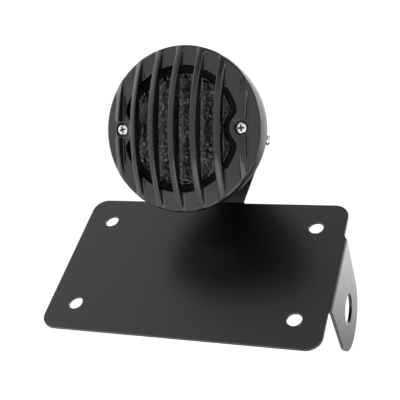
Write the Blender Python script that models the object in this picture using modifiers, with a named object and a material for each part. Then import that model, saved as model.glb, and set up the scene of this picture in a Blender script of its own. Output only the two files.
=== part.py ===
"""Finned motorcycle tail light on a side-mount licence plate bracket.

Metres, +Z up. The lamp faces -Y and the origin is the centre of the axle hole, on the outer
face of the bracket's ear. Two empties carry the parts: bracket_frame stands where the plate
and the neck meet, and lamp_frame on the neck's front face behind the middle of the lamp.
In both, +X is to the right of someone facing the lamp, +Y is up and +Z is towards them.
"""
import math

import bmesh
import bpy
from mathutils import Matrix, Vector

MM = 0.001
GAP = 0.3 * MM                        # left between pieces that touch
PAST = 5.0 * MM                       # how far a cutter runs past what it cuts

# Bracket, one bent sheet
SHEET = 2.0 * MM
PLATE_WIDTH = 183.8 * MM
PLATE_HEIGHT = 109.0 * MM
PLATE_CORNER = 9.7 * MM
PLATE_LEAN = math.radians(45)         # the plate leans back this far from the lamp's plane
PLATE_HOLE = 4.75 * MM                # radius
PLATE_HOLES_X = 146.05 * MM           # standard motorcycle plate spacing, 5.75 x 2.75 inches
PLATE_HOLES_Y = 69.85 * MM
NECK_HALF_WIDTH = 19.5 * MM
NECK_FILLET = 1.5 * MM
NECK_BEND = 1.0 * MM                  # radius of the front face
BACK_DISC = 35.0 * MM                 # radius of the neck's round end, behind the lamp
NECK_WIRE_HOLE = 8.0 * MM             # radius
EAR_BEND = 3.0 * MM                   # radius of the outer face
EAR_OUT = 2.0 * MM                    # the ear's outer face stands this far past the plate's edge
EAR_HALF = 26.8 * MM                  # half the ear's width at the fold
EAR_RADIUS = 24.3 * MM
EAR_REACH = 38.4 * MM                 # plate's front face to the middle of the ear's round end
EAR_TAPER = 4.0                       # degrees that each side leans in
EAR_RELIEF = 2.2 * MM                 # the fold is this much longer than the ear, at each end
AXLE_HOLE = 9.9 * MM                  # radius, clears a 3/4 inch axle
AXLE_REACH = 36.8 * MM

# Lamp; depths are heights above the neck's front face, along the lamp's axis
LAMP_HEIGHT = 47.8 * MM               # above the line where the plate and the neck meet
RIM_Z = 59.2 * MM                     # plane of the bezel's edge
BEZEL_RADIUS = 50.8 * MM
BEZEL_BACK = RIM_Z - 1.6 * MM
DOME_RADIUS = 87.0 * MM               # of the sphere that the fins' front edges follow
DOME_RISE = 17.1 * MM
FIN_BACK = RIM_Z + 8.1 * MM           # back of the fins, at the lamp's middle
FIN_BACK_SPHERE = 200.0 * MM          # radius that the fins' backs follow
FIN_PITCH = 13.7 * MM
FIN_WIDTH = 4.0 * MM
FIN_COUNT = 7
OPENING_RADIUS = 38.5 * MM
OPENING_Z = RIM_Z + 3.0 * MM          # front edge of the opening
FLOOR_Z = RIM_Z + 0.5 * MM            # floor between the fins, at the bezel's edge
SCREW_X = 39.4 * MM
SCREW_SEAT = RIM_Z + 0.1 * MM
BOSS_RADIUS = 8.2 * MM                # round each bezel screw
BOSS_Z = RIM_Z + 2.8 * MM
SCREW_RECESS = 4.9 * MM               # radii in the boss, front to back
SCREW_COUNTERBORE = 4.2 * MM
SCREW_BORE = 2.2 * MM
SCREW_SHANK = 1.9 * MM                # radius

HOUSING_RADIUS = 50.2 * MM
HOUSING_FRONT = BEZEL_BACK - GAP
HOUSING_WALL = 2.4 * MM
BOWL_TOP = 54.0 * MM                  # the side wall starts to curve in here
BOWL_DEPTH = 49.0 * MM
BOWL_CORE = 12.0 * MM                 # radius at which the bowl's curve ends
SEAT_RADIUS = 22.0 * MM
SEAT_Z = 4.7 * MM
HOUSING_FLOOR = 8.7 * MM              # inside, flat behind the mounting bolts' heads
WIRE_HOLE = 5.0 * MM
WIRE_BORE = 3.3 * MM                  # radius, through the grommet
LEDGE_Z = 52.8 * MM                   # the lens gasket lies on this ledge
LEDGE_IN = 43.3 * MM
LEDGE_OUT = 46.8 * MM
POST_RADIUS = 4.2 * MM                # the bezel screws' posts in the housing
POST_BACK = 39.5 * MM
POST_BORE_END = 42.0 * MM
RIB_HALF = 1.5 * MM                   # thickness of the ribs from the posts to the wall
RIB_END = 46.5 * MM

LENS_Z = RIM_Z                        # front of the lens's raised middle
LENS_RAISED = 34.3 * MM
LENS_SKIN = 2.2 * MM
LENS_NOTCH = BOSS_RADIUS + 3.5 * MM   # radius of the raised middle's notch round each screw
LENS_BORE = 2.6 * MM
FLANGE_FRONT = HOUSING_FRONT
FLANGE_BACK = FLANGE_FRONT - 2.7 * MM

BOARD_RADIUS = 34.0 * MM
BOARD_BACK = 44.0 * MM
BOARD_FRONT = 45.6 * MM
BOARD_POST_CIRCLE = 29.0 * MM
BOARD_POST_BACK = 13.0 * MM
LED_PITCH = 11.5 * MM
LED_RADIUS = 2.5 * MM
CUP_RADIUS = 5.1 * MM                 # of a reflector cup's mouth
REFLECTOR_BACK = BOARD_FRONT + 3.4 * MM

BOLT_X = 14.0 * MM
BOLT_RADIUS = 2.85 * MM
FLANGE_RADIUS = 7.2 * MM              # of the wire grommet
FLANGE_BASE = 2.6 * MM                # the grommet's taper starts here, behind its flange
WINDOW_HALF = 14.0 * MM
WINDOW_LOW = 32.0 * MM
WINDOW_HIGH = 46.0 * MM
SIDE_SCREW_TURN = math.radians(-8)    # round the lamp, from +X
SIDE_SCREW_CURVE = math.radians(27.8) # down the bowl's curve, from its top

ROUND = 48                            # sides of the large round pieces
SMALL = 16                            # sides of screws, bolts and bores


# ------------------------------------------------------------------ scene and helpers

def clear_scene():
    for thing in list(bpy.data.objects):
        bpy.data.objects.remove(thing, do_unlink=True)


def new_collection(name):
    collection = bpy.data.collections.new(name)
    bpy.context.scene.collection.children.link(collection)
    return collection


def principled(name, colour, roughness, metallic=0.0, alpha=1.0):
    material = bpy.data.materials.new(name)
    material.use_nodes = True
    shader = material.node_tree.nodes["Principled BSDF"]
    shader.inputs["Base Color"].default_value = (*colour, 1.0)
    shader.inputs["Roughness"].default_value = roughness
    shader.inputs["Metallic"].default_value = metallic
    shader.inputs["Alpha"].default_value = alpha
    return material


def empty(name, location, turn=0.0, parent=None):
    """An empty that carries parts; it is turned about X."""
    frame = bpy.data.objects.new(name, None)
    frame.location = location
    frame.rotation_euler = (turn, 0.0, 0.0)
    frame.parent = parent
    PARTS.objects.link(frame)
    return frame


def shade(mesh):
    mesh.shade_smooth()
    mesh.set_sharp_from_angle(angle=math.radians(35))


def place(name, bm, frame, material=None):
    """Make an object of a bmesh. Without a material it is a cutter."""
    bmesh.ops.recalc_face_normals(bm, faces=bm.faces)
    mesh = bpy.data.meshes.new(name)
    bm.to_mesh(mesh)
    bm.free()
    if mesh.polygons:
        shade(mesh)
    thing = bpy.data.objects.new(name, mesh)
    thing.parent = frame
    if material:
        mesh.materials.append(material)
        PARTS.objects.link(thing)
    else:
        CUTTERS.objects.link(thing)
        thing.hide_render = True
        thing.display_type = "WIRE"
    return thing


def block(name, low, high, frame, material=None):
    """A box from its lowest to its highest corner."""
    bm = bmesh.new()
    low = Vector(low)
    high = Vector(high)
    bmesh.ops.create_cube(bm, size=1.0)
    bmesh.ops.scale(bm, vec=high - low, verts=bm.verts)
    bmesh.ops.translate(bm, vec=(low + high) / 2, verts=bm.verts)
    return place(name, bm, frame, material)


def drum(name, radius, low, high, frame, material=None, at=(0.0, 0.0), sides=SMALL, top=None):
    """An upright cylinder, or a cone when top gives a second radius."""
    bm = bmesh.new()
    bmesh.ops.create_cone(bm, cap_ends=True, segments=sides, radius1=radius,
                          radius2=radius if top is None else top, depth=high - low)
    bmesh.ops.translate(bm, vec=(at[0], at[1], (low + high) / 2), verts=bm.verts)
    return place(name, bm, frame, material)


def turned(name, profile, frame, material=None, steps=ROUND, closed=False, at=(0.0, 0.0)):
    """A solid of revolution about Z from (radius, height) points, top to bottom outside."""
    bm = bmesh.new()
    points = [bm.verts.new((radius, 0.0, height)) for radius, height in profile]
    for a, b in zip(points, points[1:]):
        bm.edges.new((a, b))
    if closed:
        bm.edges.new((points[-1], points[0]))
    thing = place(name, bm, frame, material)
    thing.location = (at[0], at[1], 0.0)
    screw = thing.modifiers.new("Turn", "SCREW")
    screw.steps = steps
    screw.render_steps = steps
    screw.use_merge_vertices = True
    screw.merge_threshold = 0.00001
    screw.use_smooth_shade = True
    return thing


def ring(name, inner, outer, low, high, frame, material, steps=ROUND, at=(0.0, 0.0)):
    profile = [(outer, high), (outer, low), (inner, low), (inner, high)]
    return turned(name, profile, frame, material, steps, closed=True, at=at)


def combine(target, tool, operation="DIFFERENCE"):
    modifier = target.modifiers.new(operation.title(), "BOOLEAN")
    modifier.operation = operation
    modifier.object = tool


def arc(centre, radius, start, end, steps):
    """Points along an arc, in degrees, both ends included."""
    turns = [math.radians(start + (end - start) * i / steps) for i in range(steps + 1)]
    return [(centre[0] + radius * math.cos(t), centre[1] + radius * math.sin(t)) for t in turns]


# ------------------------------------------------------------------ bracket

NECK_START = NECK_BEND * math.tan(PLATE_LEAN / 2)      # bend's start, below the meeting line
PLATE_MIDDLE = NECK_START - PLATE_HEIGHT / 2           # height of the plate's middle in the blank
PLATE_SIDE = PLATE_WIDTH / 2
EAR_FOLD = PLATE_SIDE + EAR_OUT - EAR_BEND             # where the ear's bend starts
EAR_FLAT = EAR_FOLD + EAR_BEND * math.pi / 2           # where it ends, in the flat blank
EAR_TOP = PLATE_MIDDLE + EAR_HALF + EAR_RELIEF
EAR_BOTTOM = PLATE_MIDDLE - EAR_HALF - EAR_RELIEF


def plate_point(across, up, behind=0.0):
    """A point of the plate. up is measured in the blank, from the neck's bend."""
    down = NECK_START - up
    return Vector((across,
                   -down * math.cos(PLATE_LEAN) - behind * math.sin(PLATE_LEAN),
                   down * math.sin(PLATE_LEAN) - behind * math.cos(PLATE_LEAN)))


def folded(across, up):
    """Where a point of the flat blank's front face goes when the sheet is bent."""
    if across > EAR_FOLD and EAR_BOTTOM + GAP < up < EAR_TOP - GAP:
        turn = min((across - EAR_FOLD) / EAR_BEND, math.pi / 2)
        past = max(across - EAR_FLAT, 0.0)
        behind = EAR_BEND * (1 - math.cos(turn)) + past
        return plate_point(EAR_FOLD + EAR_BEND * math.sin(turn), up, behind)
    if up <= 0.0:
        return plate_point(across, up)
    lean = PLATE_LEAN - min(up / NECK_BEND, PLATE_LEAN)
    past = max(up - NECK_BEND * PLATE_LEAN, 0.0)
    centre = plate_point(across, 0.0, -NECK_BEND)
    return Vector((across,
                   centre.y - NECK_BEND * math.sin(lean) + past,
                   centre.z - NECK_BEND * math.cos(lean)))


def ear_across(reach):
    """Place in the blank of a point that far behind the plate's front face."""
    return EAR_FLAT + reach - EAR_BEND


def blank_outline():
    """Outline of the flat blank, anticlockwise from the plate's lower left corner."""
    left, right, r = -PLATE_SIDE, PLATE_SIDE, PLATE_CORNER
    bottom = NECK_START - PLATE_HEIGHT
    disc_up = LAMP_HEIGHT - NECK_START + NECK_BEND * PLATE_LEAN
    slope = math.atan2(-disc_up, NECK_HALF_WIDTH)
    slope += math.acos(BACK_DISC / math.hypot(disc_up, NECK_HALF_WIDTH))
    tangent = math.degrees(slope)
    points = arc((left + r, bottom + r), r, 180, 270, 6)
    points += arc((right - r, bottom + r), r, 270, 360, 6)
    points += [(right, EAR_BOTTOM)]
    points += [(EAR_FLAT, PLATE_MIDDLE - EAR_HALF)]
    points += arc((ear_across(EAR_REACH), PLATE_MIDDLE), EAR_RADIUS,
                  EAR_TAPER - 90, 90 - EAR_TAPER, 20)
    points += [(EAR_FLAT, PLATE_MIDDLE + EAR_HALF)]
    points += [(right, EAR_TOP)]
    points += arc((right - r, -r), r, 0, 90, 6)
    points += arc((NECK_HALF_WIDTH + NECK_FILLET, NECK_FILLET), NECK_FILLET, 270, 180, 4)
    points += arc((0.0, disc_up), BACK_DISC, tangent, 180 - tangent, 28)
    points += arc((-NECK_HALF_WIDTH - NECK_FILLET, NECK_FILLET), NECK_FILLET, 0, -90, 4)
    points += arc((left + r, -r), r, 90, 180, 6)
    return points


def blank_holes():
    for side in (-1, 1):
        for level in (-1, 1):
            centre = (side * PLATE_HOLES_X / 2, PLATE_MIDDLE + level * PLATE_HOLES_Y / 2)
            yield arc(centre, PLATE_HOLE, 0, 337.5, 15)
    yield arc((ear_across(AXLE_REACH), PLATE_MIDDLE), AXLE_HOLE, 0, 345, 23)
    disc_up = LAMP_HEIGHT - NECK_START + NECK_BEND * PLATE_LEAN
    yield arc((0.0, disc_up), NECK_WIRE_HOLE, 0, 337.5, 15)
    for side in (-1, 1):
        yield arc((side * BOLT_X, disc_up), BOLT_RADIUS + GAP, 0, 330, 11)


def build_bracket(frame, material):
    bm = bmesh.new()
    for loop in [blank_outline(), *blank_holes()]:
        corners = [bm.verts.new((x, y, 0.0)) for x, y in loop]
        for a, b in zip(corners, corners[1:] + corners[:1]):
            bm.edges.new((a, b))
    bmesh.ops.triangle_fill(bm, use_beauty=True, edges=bm.edges, normal=(0.0, 0.0, 1.0))
    for face in bm.faces:
        if face.normal.z < 0:
            face.normal_flip()
    folds = [((EAR_FOLD + EAR_BEND * math.pi / 2 * i / 4, 0.0), (1.0, 0.0)) for i in range(5)]
    folds += [((0.0, NECK_BEND * PLATE_LEAN * i / 3), (0.0, 1.0)) for i in range(4)]
    for (x, y), (nx, ny) in folds:
        bmesh.ops.bisect_plane(bm, geom=bm.verts[:] + bm.edges[:] + bm.faces[:], dist=1e-7,
                               plane_co=(x, y, 0.0), plane_no=(nx, ny, 0.0))
    for vert in bm.verts:
        vert.co = folded(vert.co.x, vert.co.y)
    mesh = bpy.data.meshes.new("bracket")
    bm.to_mesh(mesh)
    bm.free()
    shade(mesh)
    mesh.materials.append(material)
    bracket = bpy.data.objects.new("bracket", mesh)
    bracket.parent = frame
    PARTS.objects.link(bracket)
    solidify = bracket.modifiers.new("Sheet", "SOLIDIFY")
    solidify.thickness = SHEET
    solidify.offset = -1.0
    solidify.use_even_offset = True


# ------------------------------------------------------------------ screws and nuts

def pan_screw(name, frame, material, head, head_height, shank, length, seat, at=(0.0, 0.0)):
    """A pan head screw along Z with a cross recess; its head sits on the height seat."""
    top = seat + head_height
    profile = [(0.0, top), (head * 0.55, top - head_height * 0.08),
               (head * 0.9, top - head_height * 0.4), (head, seat + head_height * 0.2),
               (head, seat), (shank, seat), (shank, seat - length), (0.0, seat - length)]
    screw = turned(name, profile, frame, material, SMALL, at=at)
    slot = head * 0.13
    reach = head * 0.62
    deep = head_height * 0.62
    long_slot = block(name + "_slot", (at[0] - reach, at[1] - slot, top - deep),
                      (at[0] + reach, at[1] + slot, top + MM), frame)
    cross_slot = block(name + "_cross", (at[0] - slot, at[1] - reach, top - deep),
                       (at[0] + slot, at[1] + reach, top + MM), frame)
    combine(screw, long_slot)
    combine(screw, cross_slot)


def hex_nut(name, frame, material, flats, bore, low, high, at=(0.0, 0.0)):
    nut = drum(name, flats / 2 / math.cos(math.pi / 6), low, high, frame, material, at, sides=6)
    combine(nut, drum(name + "_bore", bore, low - MM, high + MM, frame, at=at, sides=12))


# ------------------------------------------------------------------ bezel

ABOVE_BEZEL = RIM_Z + DOME_RISE + PAST


def dome_profile(radius, sphere, top):
    """A round cap from the axis out to a radius; top is its height on the axis."""
    steps = [radius * i / 8 for i in range(9)]
    return [(step, top - sphere + math.sqrt(sphere ** 2 - step ** 2)) for step in steps]


def bezel_fins(frame):
    """The fins and what lies below them, less the hollow between their backs and the lens."""
    fins = None
    for i in range(FIN_COUNT):
        x = (i - FIN_COUNT // 2) * FIN_PITCH
        half = FIN_WIDTH / 2
        end = BEZEL_RADIUS + 2 * PAST
        fin = block(f"fin_{i + 1}", (x - half, -end, BEZEL_BACK - 2 * PAST),
                    (x + half, end, ABOVE_BEZEL + PAST), frame)
        if fins:
            combine(fins, fin, "UNION")
        else:
            fins = fin
    low = BEZEL_BACK - 3 * PAST
    radius = OPENING_RADIUS + GAP
    profile = dome_profile(radius, FIN_BACK_SPHERE, FIN_BACK) + [(radius, low), (0.0, low)]
    combine(fins, turned("fin_hollow", profile, frame))
    return fins


def bezel_pockets(frame):
    """What is taken out: the opening and all above a sloping floor, less fins and bosses."""
    bottom = BEZEL_BACK - PAST
    slope = (OPENING_Z - FLOOR_Z) / (BEZEL_RADIUS - OPENING_RADIUS)
    out = BEZEL_RADIUS + PAST
    profile = [(0.0, ABOVE_BEZEL), (out, ABOVE_BEZEL), (out, FLOOR_Z - PAST * slope),
               (OPENING_RADIUS, OPENING_Z), (OPENING_RADIUS, bottom), (0.0, bottom)]
    pockets = turned("bezel_pockets", profile, frame)
    combine(pockets, bezel_fins(frame))
    for side in (-1, 1):
        boss = drum(f"boss_{side}", BOSS_RADIUS, bottom - PAST, BOSS_Z, frame,
                    at=(side * SCREW_X, 0.0), sides=24)
        combine(pockets, boss)
    return pockets


def build_bezel(frame, material):
    profile = dome_profile(BEZEL_RADIUS, DOME_RADIUS, RIM_Z + DOME_RISE)
    profile += [(BEZEL_RADIUS, BEZEL_BACK), (0.0, BEZEL_BACK)]
    bezel = turned("bezel", profile, frame, material)
    combine(bezel, bezel_pockets(frame))
    for side in (-1, 1):
        at = (side * SCREW_X, 0.0)
        steps = [("recess", SCREW_RECESS, BOSS_Z - 0.3 * MM),
                 ("counterbore", SCREW_COUNTERBORE, SCREW_SEAT - GAP),
                 ("bore", SCREW_BORE, BEZEL_BACK - PAST)]
        for word, radius, low in steps:
            combine(bezel, drum(f"bezel_{word}_{side}", radius, low, ABOVE_BEZEL, frame, at=at))


# ------------------------------------------------------------------ housing

def bowl_point(curve, inset=0.0):
    """Radius and height on the bowl's curve; curve is 0 at its top and 90 degrees at its back."""
    return (BOWL_CORE + (HOUSING_RADIUS - BOWL_CORE - inset) * math.cos(curve),
            BOWL_TOP - (BOWL_DEPTH - inset) * math.sin(curve))


def bowl_curve(start, end, steps, inset=0.0):
    turns = [math.radians(start + (end - start) * i / steps) for i in range(steps + 1)]
    return [bowl_point(turn, inset) for turn in turns]


def housing_shell(frame, material):
    seat_curve = math.degrees(math.acos((SEAT_RADIUS - BOWL_CORE)
                                        / (HOUSING_RADIUS - BOWL_CORE)))
    profile = [(HOUSING_RADIUS, HOUSING_FRONT)]
    profile += bowl_curve(0, seat_curve, 9)
    profile += [(SEAT_RADIUS, SEAT_Z), (WIRE_HOLE, SEAT_Z)]
    floor_curve = math.degrees(math.asin((BOWL_TOP - HOUSING_FLOOR)
                                         / (BOWL_DEPTH - HOUSING_WALL)))
    profile += [(WIRE_HOLE, HOUSING_FLOOR)]
    profile += bowl_curve(floor_curve, 8, 7, HOUSING_WALL)
    profile += [(LEDGE_IN, LEDGE_Z - 2.4 * MM), (LEDGE_IN, LEDGE_Z), (LEDGE_OUT, LEDGE_Z),
                (LEDGE_OUT, HOUSING_FRONT)]
    return turned("housing", profile, frame, material, closed=True)


def round_places(radius, *turns):
    """Places on a circle round the lamp's axis, at these angles in degrees."""
    return [(radius * math.cos(math.radians(turn)), radius * math.sin(math.radians(turn)))
            for turn in turns]


BOARD_POSTS = round_places(BOARD_POST_CIRCLE, 90, 210, 330)


def side_frame(lamp):
    """An empty on the housing's side, +Z out of the shell, for the side screw."""
    radius, height = bowl_point(SIDE_SCREW_CURVE)
    outward = Vector((math.cos(SIDE_SCREW_CURVE) / (HOUSING_RADIUS - BOWL_CORE), 0.0,
                      -math.sin(SIDE_SCREW_CURVE) / BOWL_DEPTH)).normalized()
    frame = empty("side_frame", (0.0, 0.0, 0.0), parent=lamp)
    turn = Matrix.Rotation(SIDE_SCREW_TURN, 4, "Z")
    tip = outward.to_track_quat("Z", "Y").to_matrix().to_4x4()
    frame.matrix_local = turn @ Matrix.Translation((radius, 0.0, height)) @ tip
    return frame


def build_housing(frame, side, material):
    housing = housing_shell(frame, material)
    for sign in (-1, 1):
        at = (sign * SCREW_X, 0.0)
        rib = sorted((sign * SCREW_X, sign * RIB_END))
        combine(housing, drum(f"post_{sign}", POST_RADIUS, POST_BACK, LEDGE_Z - GAP, frame,
                              at=at), "UNION")
        combine(housing, block(f"rib_{sign}", (rib[0], -RIB_HALF, 40 * MM),
                               (rib[1], RIB_HALF, 50 * MM), frame), "UNION")
        combine(housing, drum(f"post_bore_{sign}", SCREW_BORE, POST_BORE_END, RIM_Z, frame,
                              at=at))
        combine(housing, drum(f"bolt_hole_{sign}", BOLT_RADIUS + GAP, SEAT_Z - PAST,
                              HOUSING_FLOOR + PAST, frame, at=(sign * BOLT_X, 0.0), sides=12))
    for i, at in enumerate(BOARD_POSTS):
        combine(housing, drum(f"board_post_{i}", 3 * MM, BOARD_POST_BACK, BOARD_BACK - GAP,
                              frame, at=at, sides=10), "UNION")
        combine(housing, drum(f"board_bore_{i}", 1.5 * MM, BOARD_BACK - 12 * MM,
                              BOARD_BACK + PAST, frame, at=at, sides=10))
    combine(housing, block("window_cut", (-WINDOW_HALF, -60 * MM, WINDOW_LOW),
                           (WINDOW_HALF, -38 * MM, WINDOW_HIGH), frame))
    combine(housing, drum("side_hole", SCREW_BORE, -HOUSING_WALL - PAST, PAST, side, sides=12))


def build_side_screw(side, steel):
    pan_screw("side_screw", side, steel, head=3.4 * MM, head_height=2.3 * MM,
              shank=SCREW_SHANK, length=9 * MM, seat=GAP)
    inside = -HOUSING_WALL - 0.8 * MM
    hex_nut("side_nut", side, steel, 7 * MM, SCREW_BORE, inside - 3 * MM, inside)


# ------------------------------------------------------------------ lens and seals

def notch(target, radius, frame, name, sides=24):
    """Cut a round piece away round the bezel's two screws, through its whole thickness."""
    for sign in (-1, 1):
        combine(target, drum(f"{name}_notch_{sign}", radius, POST_BACK, RIM_Z + 2 * PAST, frame,
                             at=(sign * SCREW_X, 0.0), sides=sides))


def build_lens(frame, material):
    """A smoked cap: a flange under the bezel and a raised middle that is hollow behind."""
    crown = turned("lens", [(0.0, LENS_Z), (LENS_RAISED - 0.8 * MM, LENS_Z - 0.2 * MM),
                            (LENS_RAISED, LENS_Z - 1.0 * MM), (LENS_RAISED, FLANGE_BACK),
                            (0.0, FLANGE_BACK)], frame, material)
    notch(crown, LENS_NOTCH, frame, "crown")
    flange = drum("lens_flange", LEDGE_OUT - GAP, FLANGE_BACK, FLANGE_FRONT, frame, sides=ROUND)
    combine(crown, flange, "UNION")
    inner = LENS_RAISED - LENS_SKIN
    hollow = drum("lens_hollow", inner, FLANGE_BACK - PAST, LENS_Z - LENS_SKIN, frame,
                  sides=ROUND)
    notch(hollow, LENS_NOTCH + LENS_SKIN, frame, "hollow")
    combine(crown, hollow)
    notch(crown, LENS_BORE, frame, "lens_bore", SMALL)


def build_seals(frame, rubber):
    ring("lens_gasket", LEDGE_IN + GAP, LEDGE_OUT - GAP, LEDGE_Z + GAP, FLANGE_BACK - GAP,
         frame, rubber)
    gasket = ring("base_gasket", 8.2 * MM, SEAT_RADIUS, GAP, SEAT_Z - GAP, frame, rubber, 32)
    for sign in (-1, 1):
        combine(gasket, drum(f"gasket_bore_{sign}", BOLT_RADIUS + GAP, -PAST, SEAT_Z + PAST,
                             frame, at=(sign * BOLT_X, 0.0), sides=12))
    wall_in = HOUSING_FLOOR + GAP
    neck = WIRE_HOLE - GAP
    tip = -SHEET - 3 * MM
    profile = [(FLANGE_RADIUS, wall_in + 1.6 * MM), (FLANGE_RADIUS, wall_in), (neck, wall_in),
               (neck, SEAT_Z - GAP), (FLANGE_RADIUS, SEAT_Z - GAP), (FLANGE_RADIUS, FLANGE_BASE),
               (WIRE_BORE + 1.1 * MM, tip), (WIRE_BORE, tip), (WIRE_BORE, wall_in + 1.6 * MM)]
    turned("wire_grommet", profile, frame, rubber, SMALL, closed=True)


# ------------------------------------------------------------------ light unit

def led_places():
    for row in range(-2, 3):
        columns = (-0.5, 0.5) if abs(row) == 2 else (-1.5, -0.5, 0.5, 1.5)
        for column in columns:
            yield column * LED_PITCH, row * LED_PITCH


def build_leds(frame, material):
    base = BOARD_FRONT + GAP
    profile = [(0.0, base + 6.6 * MM), (LED_RADIUS * 0.7, base + 5.9 * MM),
               (LED_RADIUS, base + 4.4 * MM), (LED_RADIUS, base), (0.0, base)]
    for number, at in enumerate(led_places(), start=1):
        turned(f"led_{number:02d}", profile, frame, material, 10, at=at)


def build_reflector(frame, material):
    """A bright tray with a cone round each lamp and three feet on the board."""
    high = LENS_Z - LENS_SKIN - GAP
    reflector = drum("reflector", LENS_RAISED - LENS_SKIN - 0.6 * MM, REFLECTOR_BACK, high,
                     frame, material, sides=32)
    notch(reflector, LENS_NOTCH + LENS_SKIN + 0.5 * MM, frame, "reflector")
    for i, at in enumerate(round_places(27 * MM, 30, 150, 270)):
        combine(reflector, drum(f"foot_{i}", 2 * MM, BOARD_FRONT + GAP, REFLECTOR_BACK + MM,
                                frame, at=at, sides=8), "UNION")
    for i, at in enumerate(led_places()):
        combine(reflector, drum(f"cup_{i}", LED_RADIUS + 0.3 * MM, REFLECTOR_BACK - 0.01 * MM,
                                high + 0.01 * MM, frame, at=at, sides=12, top=CUP_RADIUS))


def build_board(frame, boards, parts, steel):
    board = drum("led_board", BOARD_RADIUS, BOARD_BACK, BOARD_FRONT, frame, boards, sides=40)
    for i, at in enumerate(BOARD_POSTS):
        combine(board, drum(f"board_hole_{i}", 1.6 * MM, BOARD_BACK - PAST, BOARD_FRONT + PAST,
                            frame, at=at, sides=10))
        pan_screw(f"board_screw_{i + 1}", frame, steel, head=2.6 * MM, head_height=1.8 * MM,
                  shank=1.2 * MM, length=10 * MM, seat=BOARD_FRONT + GAP, at=at)
    back = BOARD_BACK - GAP
    block("board_connector", (-6 * MM, 8 * MM, back - 7 * MM), (6 * MM, 15 * MM, back), frame,
          parts)
    block("driver_chip", (-16 * MM, -6 * MM, back - 2.4 * MM), (-9 * MM, 0.0, back), frame,
          parts)
    drum("capacitor", 3.2 * MM, back - 8 * MM, back, frame, parts, at=(12 * MM, -4 * MM),
         sides=12)


def build_plate_light(frame, clear, boards, leds, steel, rubber):
    """The window under the lamp that lights the number plate, and the board behind it."""
    outer = bowl_curve(2, 42, 8)
    inner = bowl_curve(42, 2, 8, HOUSING_WALL)
    window = turned("plate_window", outer + inner, frame, clear, closed=True)
    combine(window, block("window_shape", (-WINDOW_HALF + GAP, -60 * MM, WINDOW_LOW + GAP),
                          (WINDOW_HALF - GAP, -36 * MM, WINDOW_HIGH - GAP), frame), "INTERSECT")
    block("plate_led_board", (-13 * MM, -36.8 * MM, 32 * MM), (13 * MM, -35.2 * MM, 43 * MM),
          frame, boards)
    for word, x in (("left", -7 * MM), ("right", 7 * MM)):
        block(f"plate_led_{word}", (x - 2.5 * MM, -38.6 * MM, 35 * MM),
              (x + 2.5 * MM, -37.1 * MM, 40 * MM), frame, leds)
    angle = block("plate_light_angle", (-5 * MM, -34.9 * MM, 33 * MM),
                  (5 * MM, -33.9 * MM, BOARD_BACK - GAP), frame, steel)
    combine(angle, block("angle_leg", (-5 * MM, -34.9 * MM, BOARD_BACK - GAP - MM),
                         (5 * MM, -23 * MM, BOARD_BACK - GAP), frame), "UNION")
    build_lead(frame, rubber)


def build_lead(frame, material):
    """The short lead from the light unit's connector down to the plate light's board."""
    curve = bpy.data.curves.new("plate_light_lead", "CURVE")
    curve.dimensions = "3D"
    curve.bevel_depth = 0.9 * MM
    curve.bevel_resolution = 2
    curve.use_fill_caps = True
    route = [(7.2, 11.5, 39.0), (8.6, 10.8, 37.2), (9.2, 8.0, 34.6), (9.6, 3.0, 32.0),
             (9.8, -4.0, 30.2), (9.8, -12.0, 29.8), (9.6, -20.0, 30.2), (9.2, -27.0, 31.8),
             (9.0, -31.5, 34.0), (9.0, -33.6, 36.4)]
    spline = curve.splines.new("POLY")
    spline.points.add(len(route) - 1)
    for point, place_mm in zip(spline.points, route):
        point.co = (*(Vector(place_mm) * MM), 1.0)
    curve.materials.append(material)
    lead = bpy.data.objects.new("plate_light_lead", curve)
    lead.parent = frame
    PARTS.objects.link(lead)


# ------------------------------------------------------------------ fixings

def build_mounting(frame, steel):
    """Two bolts from inside the housing through gasket and bracket, nuts behind."""
    inside = HOUSING_FLOOR + GAP
    behind = -SHEET - GAP
    for word, sign in (("left", -1), ("right", 1)):
        at = (sign * BOLT_X, 0.0)
        profile = [(0.0, inside + 3 * MM), (4.2 * MM, inside + 2.4 * MM),
                   (5.5 * MM, inside + 0.8 * MM), (5.5 * MM, inside), (BOLT_RADIUS, inside),
                   (BOLT_RADIUS, behind - 9 * MM), (0.0, behind - 9 * MM)]
        turned(f"mount_bolt_{word}", profile, frame, steel, 12, at=at)
        bore = BOLT_RADIUS + GAP
        ring(f"mount_washer_{word}", bore, 6 * MM, behind - 1.2 * MM, behind, frame, steel,
             SMALL, at)
        spring = behind - 1.2 * MM - GAP
        ring(f"lock_washer_{word}", bore, 5 * MM, spring - 1.4 * MM, spring, frame, steel,
             SMALL, at)
        nut = spring - 1.4 * MM - GAP
        hex_nut(f"mount_nut_{word}", frame, steel, 10 * MM, bore, nut - 5 * MM, nut, at)


def build_bezel_screws(frame, steel):
    for word, sign in (("left", -1), ("right", 1)):
        pan_screw(f"bezel_screw_{word}", frame, steel, head=3.5 * MM, head_height=2.2 * MM,
                  shank=SCREW_SHANK, length=16 * MM, seat=SCREW_SEAT,
                  at=(sign * SCREW_X, 0.0))


# ------------------------------------------------------------------ assembly

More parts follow.
